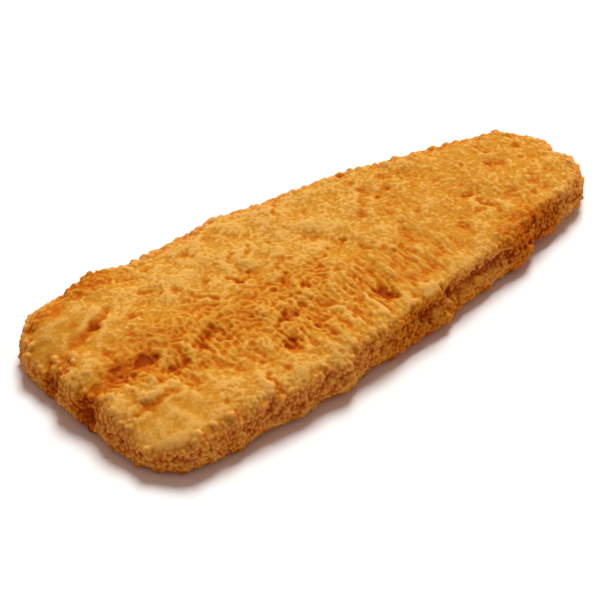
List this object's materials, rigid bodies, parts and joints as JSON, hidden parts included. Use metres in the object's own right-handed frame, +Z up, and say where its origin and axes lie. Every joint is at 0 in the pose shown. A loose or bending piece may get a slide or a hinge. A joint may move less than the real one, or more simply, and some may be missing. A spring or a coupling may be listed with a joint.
{
  "type": "fried fish fillet",
  "caption": "Long flat fillet of white fish in golden fried batter, broad at its cut end, narrowing to a blunt tail, with a rounded rim over knobbly side walls.",
  "frame": {"origin": "middle of the bounding box in plan, on the surface that the fillet lies on", "axes": "+X along the fillet from its broad cut end to its tail, +Z up through its thickness, +Y across it"},
  "size_m": [0.2, 0.086, 0.0175],
  "materials": {
    "fried_crust": "golden brown fried batter, grainy and slightly oily, darker on the walls and in its hollows"
  },
  "bodies": {
    "root": {"fish_fillet": "fried_crust"}
  },
  "joints": []
}
